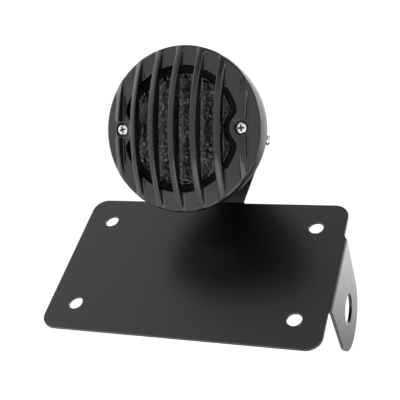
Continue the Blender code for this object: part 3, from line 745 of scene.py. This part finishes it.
def build_leds(material):
    """Domed lamps with a flange at the board."""
    base = BOARD_FRONT + GAP
    flange = LED_RADIUS + LED_FLANGE
    profile = arc((0.0, base + LED_SHOULDER), LED_RADIUS, 90, 0, 8)
    profile += [(LED_RADIUS, base + LED_FLANGE_HEIGHT), (flange, base + LED_FLANGE_HEIGHT),
                (flange, base), (0.0, base)]
    for number, (x, y) in enumerate(led_places(), start=1):
        led = lathe(f"fine_led_{number:02d}", profile, LAMP @ Matrix.Translation((x, y, 0.0)),
                    material, 24)
        show(smooth(led), f"led_{number:02d}", slot="led_lens")


# ------------------------------------------------------------------ housing

def bowl_point(curve, inset=0.0):
    """A point of the bowl's elliptical section, from its rim at 0 to its back at 90 degrees."""
    return (BOWL_CORE + (HOUSING_RADIUS - BOWL_CORE - inset) * math.cos(curve),
            BOWL_TOP - (BOWL_DEPTH - inset) * math.sin(curve))


def bowl_curve(start, end, steps, inset=0.0):
    turns = [math.radians(start + (end - start) * i / steps) for i in range(steps + 1)]
    return [bowl_point(turn, inset) for turn in turns]


def side_matrix():
    """A frame on the housing's side with +Z out of the shell, where the side screw sits."""
    radius, height = bowl_point(SIDE_SCREW_CURVE)
    outward = Vector((math.cos(SIDE_SCREW_CURVE) / (HOUSING_RADIUS - BOWL_CORE), 0.0,
                      -math.sin(SIDE_SCREW_CURVE) / BOWL_DEPTH)).normalized()
    turn = Matrix.Rotation(SIDE_SCREW_TURN, 4, "Z")
    tip = outward.to_track_quat("Z", "Y").to_matrix().to_4x4()
    return LAMP @ turn @ Matrix.Translation((radius, 0.0, height)) @ tip


def window_block(name, shrink, near):
    """The shape of the window that lights the plate, with round corners, up to y = near."""
    opening = block(name, (-WINDOW_HALF + shrink, -60 * MM, WINDOW_LOW + shrink),
                    (WINDOW_HALF - shrink, near, WINDOW_HIGH - shrink), LAMP)
    bm = bmesh.new()
    bm.from_mesh(opening.data)
    uprights = [e for e in bm.edges if abs((e.verts[0].co - e.verts[1].co).y) > 10 * MM]
    bmesh.ops.bevel(bm, geom=uprights, offset=2.5 * MM, segments=8, affect="EDGES", profile=0.5)
    bm.to_mesh(opening.data)
    bm.free()
    return opening


def housing_profile():
    """The bowl's section, from its front edge down the outside and back up the inside."""
    seat_curve = math.degrees(math.acos((SEAT_RADIUS - BOWL_CORE)
                                        / (HOUSING_RADIUS - BOWL_CORE)))
    floor_curve = math.degrees(math.asin((BOWL_TOP - HOUSING_FLOOR)
                                         / (BOWL_DEPTH - HOUSING_WALL)))
    step = LIP_RADIUS * MM - GAP
    profile = [(step, HOUSING_FRONT), (step, LIP_BACK * MM - GAP)]
    profile += [point for point in bowl_curve(0, seat_curve, 60) if point[1] < profile[1][1]]
    profile += [(SEAT_RADIUS, SEAT_Z), (WIRE_HOLE, SEAT_Z), (WIRE_HOLE, HOUSING_FLOOR)]
    profile += bowl_curve(floor_curve, 8, 16, HOUSING_WALL)
    profile += [(LEDGE_IN, LEDGE_Z - 2.4 * MM), (LEDGE_IN, LEDGE_Z), (LEDGE_OUT, LEDGE_Z),
                (LEDGE_OUT, HOUSING_FRONT)]
    return profile


def add_screw_posts(housing):
    """Posts for the bezel's screws, with a rib to the wall, and the mount bolts' holes."""
    for sign in (-1, 1):
        screw_at = (sign * SCREW_X * MM, 0.0)
        rib = sorted((screw_at[0], sign * RIB_END))
        cut(housing, drum("post", POST_RADIUS, POST_BACK, LEDGE_Z - GAP, LAMP, at=screw_at),
            "UNION")
        cut(housing, block("rib", (rib[0], -RIB_HALF, RIB_LOW), (rib[1], RIB_HALF, RIB_HIGH),
                           LAMP), "UNION")
        cut(housing, drum("post_bore", SCREW_BORE, POST_BORE_END, LEDGE_Z + MM, LAMP,
                          at=screw_at))
        cut(housing, drum("bolt_hole", BOLT_RADIUS + GAP, 0.0, 12 * MM, LAMP,
                          at=(sign * BOLT_X, 0.0)))


def add_board_posts(housing):
    """Posts that carry the lamps' board."""
    for turn in BOARD_POST_TURNS:
        at = (BOARD_POST_CIRCLE * math.cos(math.radians(turn)),
              BOARD_POST_CIRCLE * math.sin(math.radians(turn)))
        cut(housing, drum("board_post", BOARD_POST_RADIUS, BOARD_POST_BACK, BOARD_BACK - GAP,
                          LAMP, at=at), "UNION")
        cut(housing, drum("board_bore", BOARD_BORE, BOARD_BACK - BOARD_BORE_DEPTH,
                          BOARD_BACK + MM, LAMP, at=at))


def build_housing(material):
    housing = lathe("fine_housing", housing_profile(), LAMP, material, ROUND, closed=True)
    cut(housing, window_block("window_cut", 0.0, -38 * MM))
    cut(housing, drum("side_hole", SCREW_BORE, -8 * MM, 8 * MM, side_matrix()))
    add_screw_posts(housing)
    add_board_posts(housing)
    smooth(housing)
    return show(housing, "housing", slot="cast_gloss_black")


def build_window(material):
    outer = bowl_curve(2, 42, 24)
    inner = bowl_curve(42, 2, 24, HOUSING_WALL)
    window = lathe("fine_plate_window", outer + inner, LAMP, material, ROUND, closed=True)
    cut(window, window_block("window_shape", GAP, -36 * MM), "INTERSECT")
    smooth(window)
    return show(window, "plate_window", slot="clear_window")


# ------------------------------------------------------------------ bracket

NECK_START = NECK_BEND * math.tan(PLATE_LEAN / 2)      # bend's start, below the meeting line
PLATE_MIDDLE = NECK_START - PLATE_HEIGHT / 2           # height of the plate's middle in the blank
DISC_UP = LAMP_HEIGHT - NECK_START + NECK_BEND * PLATE_LEAN      # and of the lamp's
PLATE_SIDE = PLATE_WIDTH / 2
EAR_FOLD = PLATE_SIDE + EAR_OUT - EAR_BEND             # where the ear's bend starts
EAR_FLAT = EAR_FOLD + EAR_BEND * math.pi / 2           # where it ends, in the flat blank
EAR_TOP = PLATE_MIDDLE + EAR_HALF + EAR_RELIEF
EAR_BOTTOM = PLATE_MIDDLE - EAR_HALF - EAR_RELIEF


def plate_point(across, up, behind=0.0):
    """A point of the plate. up is measured in the blank, from the neck's bend."""
    down = NECK_START - up
    return Vector((across,
                   -down * math.cos(PLATE_LEAN) - behind * math.sin(PLATE_LEAN),
                   down * math.sin(PLATE_LEAN) - behind * math.cos(PLATE_LEAN)))


def folded(across, up):
    """Where a point of the flat blank's front face goes when the sheet is bent."""
    if across > EAR_FOLD and EAR_BOTTOM + GAP < up < EAR_TOP - GAP:
        turn = min((across - EAR_FOLD) / EAR_BEND, math.pi / 2)
        past = max(across - EAR_FLAT, 0.0)
        behind = EAR_BEND * (1 - math.cos(turn)) + past
        return plate_point(EAR_FOLD + EAR_BEND * math.sin(turn), up, behind)
    if up <= 0.0:
        return plate_point(across, up)
    lean = PLATE_LEAN - min(up / NECK_BEND, PLATE_LEAN)
    past = max(up - NECK_BEND * PLATE_LEAN, 0.0)
    centre = plate_point(across, 0.0, -NECK_BEND)
    return Vector((across,
                   centre.y - NECK_BEND * math.sin(lean) + past,
                   centre.z - NECK_BEND * math.cos(lean)))


def ear_across(reach):
    """Place in the blank of a point that far behind the plate's front face."""
    return EAR_FLAT + reach - EAR_BEND


def blank_outline():
    """Outline of the flat blank, anticlockwise from the plate's lower left corner."""
    left, right, r = -PLATE_SIDE, PLATE_SIDE, PLATE_CORNER
    bottom = NECK_START - PLATE_HEIGHT
    lean = math.atan2(-DISC_UP, NECK_HALF_WIDTH)
    lean += math.acos(BACK_DISC / math.hypot(DISC_UP, NECK_HALF_WIDTH))
    tangent = math.degrees(lean)
    points = arc((left + r, bottom + r), r, 180, 270, 16)
    points += arc((right - r, bottom + r), r, 270, 360, 16)
    points += [(right, EAR_BOTTOM), (EAR_FLAT, PLATE_MIDDLE - EAR_HALF)]
    points += arc((ear_across(EAR_REACH), PLATE_MIDDLE), EAR_RADIUS,
                  EAR_TAPER - 90, 90 - EAR_TAPER, 60)
    points += [(EAR_FLAT, PLATE_MIDDLE + EAR_HALF), (right, EAR_TOP)]
    points += arc((right - r, -r), r, 0, 90, 16)
    points += arc((NECK_HALF_WIDTH + NECK_FILLET, NECK_FILLET), NECK_FILLET, 270, 180, 6)
    points += arc((0.0, DISC_UP), BACK_DISC, tangent, 180 - tangent, 80)
    points += arc((-NECK_HALF_WIDTH - NECK_FILLET, NECK_FILLET), NECK_FILLET, 0, -90, 6)
    points += arc((left + r, -r), r, 90, 180, 16)
    return points


def round_hole(centre, radius, sides):
    return arc(centre, radius, 0, 360 * (1 - 1 / sides), sides - 1)


def blank_holes():
    for side in (-1, 1):
        for level in (-1, 1):
            centre = (side * PLATE_HOLES_X / 2, PLATE_MIDDLE + level * PLATE_HOLES_Y / 2)
            yield round_hole(centre, PLATE_HOLE, 40)
    yield round_hole((ear_across(AXLE_REACH), PLATE_MIDDLE), AXLE_HOLE, 72)
    yield round_hole((0.0, DISC_UP), NECK_WIRE_HOLE, 48)
    for side in (-1, 1):
        yield round_hole((side * BOLT_X, DISC_UP), BOLT_RADIUS + GAP, 32)


def flat_blank():
    """The flat blank with its holes, cut along the lines where it bends."""
    bm = bmesh.new()
    for loop in [blank_outline(), *blank_holes()]:
        corners = [bm.verts.new((x, y, 0.0)) for x, y in loop]
        for a, b in zip(corners, corners[1:] + corners[:1]):
            bm.edges.new((a, b))
    bmesh.ops.triangle_fill(bm, use_beauty=True, edges=bm.edges, normal=(0.0, 0.0, 1.0))
    for face in bm.faces:
        if face.normal.z < 0:
            face.normal_flip()
    folds = [((EAR_FOLD + EAR_BEND * math.pi / 2 * i / 10, 0.0), (1.0, 0.0)) for i in range(11)]
    folds += [((0.0, NECK_BEND * PLATE_LEAN * i / 5), (0.0, 1.0)) for i in range(6)]
    for (x, y), (nx, ny) in folds:
        bmesh.ops.bisect_plane(bm, geom=bm.verts[:] + bm.edges[:] + bm.faces[:], dist=1e-7,
                               plane_co=(x, y, 0.0), plane_no=(nx, ny, 0.0))
    return bm


def build_bracket(material):
    """The bent sheet, thickened backwards from its front face."""
    bm = flat_blank()
    for vert in bm.verts:
        vert.co = folded(vert.co.x, vert.co.y)
    mesh = bpy.data.meshes.new("fine_bracket")
    bm.to_mesh(mesh)
    bm.free()
    bracket = add_object("fine_bracket", mesh, BRACKET, material)
    sheet = bracket.modifiers.new("Sheet", "SOLIDIFY")
    sheet.thickness = SHEET
    sheet.offset = -1.0
    sheet.use_even_offset = True
    edges = bracket.modifiers.new("Edges", "BEVEL")
    edges.width = 0.15 * MM
    edges.segments = 3
    edges.limit_method = "ANGLE"
    edges.angle_limit = math.radians(50)
    smooth(bracket, 40)
    return show(bracket, "bracket", slot="powder_coat")


# ------------------------------------------------------------------ screws, bolts and seals

def blade(name, half, reach, top, deep, matrix):
    """One wing of a cross recess, narrower at its bottom."""
    wing = block(name, (-reach, -half, top - deep), (reach, half, top + MM), matrix)
    for vert in wing.data.vertices:
        if vert.co.z < top:
            vert.co.x *= 0.45
            vert.co.y *= 0.75
    return wing


def pan_screw(name, node, matrix, material, recess, head, height, shank, length, seat):
    """A pan head screw with painted shade, a dark material, in its cross recess, and a threaded
    shank.
    """
    top = seat + height
    profile = [(0.0, top), (head * 0.5, top - height * 0.04), (head * 0.8, top - height * 0.12),
               (head * 0.93, top - height * 0.26), (head, top - height * 0.5), (head, seat),
               (shank, seat)]
    pitch = 0.8 * MM
    turns = int((length - 1.5 * MM) / pitch)
    for i in range(turns):
        low = seat - 1.0 * MM - i * pitch
        profile += [(shank, low), (shank * 0.84, low - pitch * 0.5)]
    profile += [(shank * 0.8, seat - length), (0.0, seat - length)]
    screw = lathe(name, profile, matrix, material, SMALL)
    for turn in (0, 90):
        wing = matrix @ Matrix.Rotation(math.radians(turn), 4, "Z")
        cut(screw, blade(f"{name}_wing", head * 0.18, head * 0.78, top, height * 0.75, wing))
    # painted shade: the recess's faces take the dark material in place of zinc
    screw.data.materials.append(recess)
    for face in screw.data.polygons:
        near = math.hypot(face.center.x, face.center.y) < head * 0.8
        face.material_index = int(near and seat < face.center.z < top - height * 0.2)
    smooth(screw, 30)
    return show(screw, node, slot="zinc_steel")


def build_screws(material, recess):
    for word, sign, turn in (("left", -1, 12), ("right", 1, 4)):
        matrix = LAMP @ Matrix.Translation((sign * SCREW_X * MM, 0.0, 0.0))
        matrix = matrix @ Matrix.Rotation(math.radians(turn), 4, "Z")
        pan_screw(f"fine_bezel_screw_{word}", f"bezel_screw_{word}", matrix, material, recess,
                  head=3.5 * MM, height=2.2 * MM, shank=1.9 * MM, length=16 * MM,
                  seat=SCREW_SEAT * MM)
    pan_screw("fine_side_screw", "side_screw", side_matrix(), material, recess,
              head=3.4 * MM, height=2.3 * MM, shank=1.9 * MM, length=9 * MM, seat=GAP)


def hex_nut(name, node, matrix, material, flats, bore, low, high):
    """A hexagon nut whose corners are turned down on both faces."""
    corner = flats / 2 / math.cos(math.pi / 6)
    nut = drum(name, corner, low, high, matrix, material, sides=6)
    chamfer = 0.5 * MM
    profile = [(0.0, high), (flats / 2, high), (corner, high - chamfer), (corner, low + chamfer),
               (flats / 2, low), (0.0, low)]
    cut(nut, lathe(name + "_turned", profile, matrix, None, SMALL), "INTERSECT")
    cut(nut, drum(name + "_bore", bore, low - MM, high + MM, matrix))
    smooth(nut, 25)
    return show(nut, node, slot="zinc_steel")


def build_mount_bolt(word, matrix, material):
    """A round headed bolt from inside the housing, with its thread."""
    inside = HOUSING_FLOOR + GAP
    profile = soften([(0.0, inside + 3 * MM), (3.4 * MM, inside + 2.8 * MM),
                      (5.2 * MM, inside + 1.4 * MM), (5.5 * MM, inside + 0.4 * MM),
                      (5.5 * MM, inside), (BOLT_RADIUS, inside)], 0.3 * MM)
    end = -SHEET - GAP - BOLT_END
    for i in range(int((inside - end - 2 * MM) / BOLT_PITCH)):
        low = inside - MM - i * BOLT_PITCH
        profile += [(BOLT_RADIUS, low), (BOLT_RADIUS * 0.88, low - BOLT_PITCH * 0.5)]
    profile += [(BOLT_RADIUS * 0.8, end), (0.0, end)]
    bolt = lathe(f"fine_mount_bolt_{word}", profile, matrix, material, SMALL)
    show(smooth(bolt, 30), f"mount_bolt_{word}", slot="zinc_steel")


def flat_ring(name, radius, top, thick, rounding, matrix, material):
    """A washer round a mount bolt."""
    bore = BOLT_RADIUS + GAP
    profile = [(radius, top), (radius, top - thick), (bore, top - thick), (bore, top)]
    return lathe(name, soften(profile, rounding, closed=True), matrix, material, SMALL,
                 closed=True)


def build_lock_washer(word, top, matrix, material):
    """A spring washer, slit at a slant on one side."""
    lock = flat_ring(f"fine_lock_washer_{word}", LOCK_RADIUS, top, LOCK_THICK, 0.15 * MM, matrix,
                     material)
    slit = matrix @ Matrix.Rotation(math.radians(40), 4, "Z")
    slit = slit @ Matrix.Rotation(math.radians(25), 4, "X")
    cut(lock, block("slit", (3 * MM, -0.35 * MM, -9 * MM), (8 * MM, 0.35 * MM, 2 * MM), slit))
    show(smooth(lock), f"lock_washer_{word}", slot="zinc_steel")


def build_mounting(material):
    """Two bolts through housing and bracket, each with washer, lock washer and nut behind."""
    washer_top = -SHEET - GAP
    lock_top = washer_top - WASHER_THICK - GAP
    nut_top = lock_top - LOCK_THICK - GAP
    for word, sign in (("left", -1), ("right", 1)):
        matrix = LAMP @ Matrix.Translation((sign * BOLT_X, 0.0, 0.0))
        build_mount_bolt(word, matrix, material)
        washer = flat_ring(f"fine_mount_washer_{word}", WASHER_RADIUS, washer_top, WASHER_THICK,
                           0.25 * MM, matrix, material)
        show(smooth(washer), f"mount_washer_{word}", slot="zinc_steel")
        build_lock_washer(word, lock_top, matrix, material)
        hex_nut(f"fine_mount_nut_{word}", f"mount_nut_{word}", matrix, material, NUT_FLATS,
                BOLT_RADIUS + GAP, nut_top - NUT_HEIGHT, nut_top)


def build_base_gasket(rubber):
    """The seal between housing and bracket, with its bolt holes."""
    gasket = [(SEAT_RADIUS, SEAT_Z - GAP), (SEAT_RADIUS, GAP), (8.2 * MM, GAP),
              (8.2 * MM, SEAT_Z - GAP)]
    base = lathe("fine_base_gasket", soften(gasket, 0.7 * MM, closed=True), LAMP, rubber,
                 closed=True)
    for sign in (-1, 1):
        cut(base, drum("gasket_bore", BOLT_RADIUS + GAP, -5 * MM, 10 * MM, LAMP,
                       at=(sign * BOLT_X, 0.0)))
    show(smooth(base), "base_gasket", slot="black_rubber")


def build_grommet(rubber):
    """The grommet that grips the housing's wall and leads out through the bracket."""
    flange = 7.2 * MM
    wall_in = HOUSING_FLOOR + GAP
    neck = WIRE_HOLE - GAP
    tip = -SHEET - 3 * MM
    profile = [(flange, wall_in + 1.6 * MM), (flange, wall_in), (neck, wall_in),
               (neck, SEAT_Z - GAP), (flange, SEAT_Z - GAP), (flange, 2.6 * MM),
               (WIRE_BORE + 1.1 * MM, tip), (WIRE_BORE, tip), (WIRE_BORE, wall_in + 1.6 * MM)]
    grommet = lathe("fine_wire_grommet", soften(profile, 0.5 * MM, closed=True), LAMP, rubber,
                    SMALL, closed=True)
    show(smooth(grommet), "wire_grommet", slot="black_rubber")


def finish_cad_nodes(materials):
    """The CAD's own inner pieces keep their shape, with rounded edges and a material each."""
    for names, material in materials:
        for name in names:
            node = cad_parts[name]
            for slot in node.material_slots:
                slot.material = material
            edges = node.modifiers.new("Edges", "BEVEL")
            edges.width = 0.12 * MM
            edges.segments = 2
            edges.limit_method = "ANGLE"
            edges.angle_limit = math.radians(40)


# ------------------------------------------------------------------ stage

def build_floor():
    """A pale round floor below the bracket."""
    material, tree, shader = shader_of("pale_floor", (0.94, 0.94, 0.94), 0.7)
    tint(tree, shader, noise(tree, 3.0), (0.93, 0.93, 0.93), (0.95, 0.95, 0.95))
    level = cad_low.z - FLOOR_DROP
    floor = drum("floor", FLOOR_RADIUS, level - 0.01, level, Matrix.Identity(4), material,
                 at=FLOOR_CENTRE, sides=96)


def ramp_node(tree, value, start, end, low, high):
    """A value that goes smoothly from low to high as another goes from start to end."""
    node = tree.nodes.new("ShaderNodeMapRange")
    node.interpolation_type = "SMOOTHSTEP"
    node.inputs["From Min"].default_value = start
    node.inputs["From Max"].default_value = end
    node.inputs["To Min"].default_value = low
    node.inputs["To Max"].default_value = high
    tree.links.new(value, node.inputs["Value"])
    return node.outputs["Result"]


def add_values(tree, a, b):
    node = tree.nodes.new("ShaderNodeMath")
    tree.links.new(a, node.inputs[0])
    tree.links.new(b, node.inputs[1])
    return node.outputs["Value"]


def build_world():
    """Soft white surroundings: an even band all round, a dimmer ceiling and large soft boxes."""
    world = bpy.data.worlds.new("studio")
    world.use_nodes = True
    bpy.context.scene.world = world
    tree = world.node_tree
    coords = tree.nodes.new("ShaderNodeTexCoord")
    split = tree.nodes.new("ShaderNodeSeparateXYZ")
    tree.links.new(coords.outputs["Generated"], split.inputs["Vector"])
    total = ramp_node(tree, split.outputs["Z"], BAND_TOP, CEILING_LOW, BAND_LIGHT,
                      CEILING_LIGHT)
    for towards, inner, outer, strength in SOFT_BOXES:
        dot = tree.nodes.new("ShaderNodeVectorMath")
        dot.operation = "DOT_PRODUCT"
        dot.inputs[1].default_value = Vector(towards).normalized()
        tree.links.new(coords.outputs["Generated"], dot.inputs[0])
        box = ramp_node(tree, dot.outputs["Value"], math.cos(math.radians(outer)),
                        math.cos(math.radians(inner)), 0.0, strength)
        total = add_values(tree, total, box)
    background = tree.nodes["Background"]
    background.inputs["Color"].default_value = BACKGROUND
    tree.links.new(total, background.inputs["Strength"])


def build_floor_spot():
    """A spot straight down on the floor in front of the lamp."""
    data = bpy.data.lights.new("floor_spot", "SPOT")
    data.energy = SPOT_POWER
    data.spot_size = math.radians(SPOT_ANGLE)
    data.spot_blend = SPOT_BLEND
    data.shadow_soft_size = SPOT_RADIUS
    spot = bpy.data.objects.new("floor_spot", data)
    spot.location = SPOT_PLACE
    bpy.context.scene.collection.objects.link(spot)


def build_camera():
    data = bpy.data.cameras.new("camera")
    data.lens = CAMERA_LENS
    data.sensor_width = 36.0
    camera = bpy.data.objects.new("camera", data)
    camera.location = CAMERA_PLACE
    camera.rotation_mode = "QUATERNION"
    camera.rotation_quaternion = (CAMERA_AIM - CAMERA_PLACE).to_track_quat("-Z", "Y")
    bpy.context.scene.collection.objects.link(camera)
    bpy.context.scene.camera = camera


# ------------------------------------------------------------------ everything

def build():
    zinc = zinc_plate()
    rubber = moulded_rubber()
    black = moulded_black_and_recess_shade()
    satin = satin_enamel()
    build_camera()
    build_bracket(powder_coat())
    build_bezel(black_enamel(), satin)
    build_housing(satin)
    build_window(clear_plastic())
    build_lens(smoked_plastic(), painted_shade_black())
    build_reflector(metallised_plastic())
    build_leds(clear_epoxy())
    # the dark moulding also stands in as painted shade in the screws' recesses
    build_screws(zinc, black)
    build_mounting(zinc)
    build_base_gasket(rubber)
    build_grommet(rubber)
    finish_cad_nodes([
        (("led_board", "plate_led_board"), solder_mask()),
        (("board_connector", "driver_chip", "capacitor", "plate_light_lead"), black),
        (("board_screw_1", "board_screw_2", "board_screw_3", "side_nut", "plate_light_angle"),
         zinc),
        (("plate_led_left", "plate_led_right"), phosphor()),
        (("lens_gasket",), rubber),
    ])
    build_floor()
    build_world()
    build_floor_spot()
    bpy.context.scene.view_settings.view_transform = "Standard"


build()
